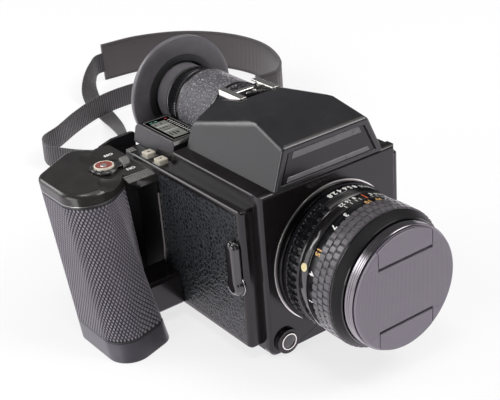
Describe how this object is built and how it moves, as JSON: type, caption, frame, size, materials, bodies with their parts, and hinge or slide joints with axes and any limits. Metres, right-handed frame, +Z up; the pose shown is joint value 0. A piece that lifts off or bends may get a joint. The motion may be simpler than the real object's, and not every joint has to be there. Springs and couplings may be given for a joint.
{
  "type": "medium format film camera",
  "caption": "Medium format single lens reflex film camera with a hand grip, faceted finder, folded rubber eyecup, capped standard lens and a neck strap lying behind it.",
  "frame": {"origin": "mouth of the tripod socket, in the plane that the camera stands on", "axes": "+Z up out of the base, the lens looks along -Y, the grip is on the -X side"},
  "size_m": [0.2896, 0.4511, 0.1251],
  "materials": {
    "body_black": "satin",
    "cast_alloy": "black anodised, matte",
    "moulded_black": "satin",
    "leatherette": "grained",
    "grip_rubber": "chequered",
    "soft_rubber": "matte",
    "key_beige": "satin",
    "chrome": "polished",
    "steel": "satin",
    "brass_bush": "plated",
    "optical_glass": "coated",
    "mirror_silver": "front silvered",
    "window": "clear over a grey display",
    "lens_black": "black anodised, semi-gloss",
    "cap_plastic": "fine texture",
    "button_brown": "gloss",
    "strap_web": "ribbed webbing",
    "strap_leather": "smooth backed pad",
    "spool_plastic": "matte",
    "curtain_cloth": "matte black blades"
  },
  "bodies": {
    "camera_body": {"front_plate": "body_black", "mirror_box": "cast_alloy", "base_plate": "body_black", "tripod_bush": "brass_bush", "grip_side_cover": "body_black", "far_side_cover": "body_black", "side_panels": "leatherette", "side_catch": "moulded_black", "display_housing": "moulded_black", "display_window": "window", "far_top_housing": "moulded_black", "finder_housing": "body_black", "name_plate": "body_black", "finder_prism": "optical_glass", "focusing_screen": "optical_glass", "shoe_bed": "steel", "shoe_rails": "chrome", "eyepiece_tube": "moulded_black", "eyepiece_glass": "optical_glass", "eyecup": "soft_rubber", "shutter_frame": "lens_black", "shutter_curtain": "curtain_cloth", "curtain_drums": "steel", "lens_mount": "steel", "lens_tube": "lens_black", "index_ring": "lens_black", "grip_core": "moulded_black", "grip_rubber": "grip_rubber", "grip_cap": "moulded_black", "grip_bridge": "moulded_black", "grip_bracket": "moulded_black", "battery_holder": "spool_plastic", "strap_webbing": "strap_web", "strap_pad": "strap_leather", "strap_tail": "strap_web", "strap_clips": "moulded_black"},
    "aperture_ring": {"aperture_ring": "lens_black"},
    "focus_ring": {"focus_ring": "lens_black", "focus_rubber": "soft_rubber"},
    "front_barrel": {"front_barrel": "lens_black", "front_glass": "optical_glass", "rear_glass": "optical_glass"},
    "lens_cap": {"lens_cap": "cap_plastic"},
    "upper_cap_tab": {"upper_cap_tab": "cap_plastic"},
    "lower_cap_tab": {"lower_cap_tab": "cap_plastic"},
    "depth_lever": {"depth_lever": "moulded_black"},
    "lens_release": {"lens_release": "moulded_black"},
    "shutter_button": {"shutter_button": "button_brown"},
    "main_switch": {"main_switch": "steel"},
    "upper_key": {"upper_key": "key_beige"},
    "lower_key": {"lower_key": "key_beige"},
    "dioptre_ring": {"dioptre_ring": "moulded_black"},
    "film_back": {"film_back": "body_black", "back_panel": "leatherette", "film_insert": "spool_plastic"},
    "latch_key": {"latch_key": "steel"},
    "supply_spool": {"supply_spool": "spool_plastic"},
    "takeup_spool": {"takeup_spool": "spool_plastic"},
    "reflex_mirror": {"reflex_mirror": "mirror_silver"},
    "battery_cover": {"battery_cover": "moulded_black"}
  },
  "joints": [
    {"name": "aperture_turn", "type": "hinge", "parent": "camera_body", "child": "aperture_ring", "pos_m": [0, -0.046, 0.0448], "axis": [0, 1, 0], "range_deg": [-60, 0]},
    {"name": "focus_turn", "type": "hinge", "parent": "camera_body", "child": "focus_ring", "pos_m": [0, -0.065, 0.0448], "axis": [0, 1, 0], "range_deg": [0, 180]},
    {"name": "barrel_slide", "type": "slide", "parent": "camera_body", "child": "front_barrel", "axis": [0, -1, 0], "range_m": [0, 0.009]},
    {"name": "cap_pull", "type": "slide", "parent": "front_barrel", "child": "lens_cap", "axis": [0, -1, 0], "range_m": [0, 0.04]},
    {"name": "upper_tab_pinch", "type": "slide", "parent": "lens_cap", "child": "upper_cap_tab", "axis": [0, 0, -1], "range_m": [0, 0.0012], "stiffness_N_per_m": 400, "springref_m": -0.0003},
    {"name": "lower_tab_pinch", "type": "slide", "parent": "lens_cap", "child": "lower_cap_tab", "axis": [0, 0, 1], "range_m": [0, 0.0012], "stiffness_N_per_m": 400, "springref_m": -0.0003},
    {"name": "depth_lever_press", "type": "hinge", "parent": "camera_body", "child": "depth_lever", "pos_m": [-0.051, -0.024, 0.0408], "axis": [-1, 0, 0], "range_deg": [0, 25], "stiffness_Nm_per_rad": 0.05},
    {"name": "lens_release_press", "type": "slide", "parent": "camera_body", "child": "lens_release", "axis": [0, 1, 0], "range_m": [0, 0.0015], "stiffness_N_per_m": 400},
    {"name": "shutter_press", "type": "slide", "parent": "camera_body", "child": "shutter_button", "axis": [0, 0, -1], "range_m": [0, 0.0016], "stiffness_N_per_m": 400, "springref_m": -0.0004},
    {"name": "switch_turn", "type": "hinge", "parent": "camera_body", "child": "main_switch", "pos_m": [-0.0663, 0.0643, 0.079], "axis": [0, 0, 1], "range_deg": [0, 60]},
    {"name": "upper_key_press", "type": "slide", "parent": "camera_body", "child": "upper_key", "axis": [0, 0, -1], "range_m": [0, 0.0008], "stiffness_N_per_m": 400, "springref_m": -0.0003},
    {"name": "lower_key_press", "type": "slide", "parent": "camera_body", "child": "lower_key", "axis": [0, 0, -1], "range_m": [0, 0.0008], "stiffness_N_per_m": 400, "springref_m": -0.0003},
    {"name": "dioptre_turn", "type": "hinge", "parent": "camera_body", "child": "dioptre_ring", "pos_m": [0, 0.072, 0.0935], "axis": [0, 1, 0], "range_deg": [-120, 120]},
    {"name": "film_back_pull", "type": "slide", "parent": "camera_body", "child": "film_back", "axis": [0, 1, 0], "range_m": [0, 0.007]},
    {"name": "latch_turn", "type": "hinge", "parent": "film_back", "child": "latch_key", "pos_m": [0, 0.077, 0.04], "axis": [0, 1, 0], "range_deg": [0, 90]},
    {"name": "supply_spin", "type": "hinge", "parent": "film_back", "child": "supply_spool", "pos_m": [0, 0.055, 0.0225], "axis": [1, 0, 0], "continuous": true},
    {"name": "takeup_spin", "type": "hinge", "parent": "film_back", "child": "takeup_spool", "pos_m": [0, 0.055, 0.0565], "axis": [1, 0, 0], "continuous": true},
    {"name": "mirror_swing", "type": "hinge", "parent": "camera_body", "child": "reflex_mirror", "pos_m": [0, 0.014, 0.0726], "axis": [-1, 0, 0], "range_deg": [0, 45], "stiffness_Nm_per_rad": 0.01},
    {"name": "battery_cover_pull", "type": "slide", "parent": "camera_body", "child": "battery_cover", "axis": [0, 0, -1], "range_m": [0, 0.02]}
  ],
  "couplings": [
    {"joint": "focus_turn", "follows": "barrel_slide", "rad_per_m": 349}
  ]
}
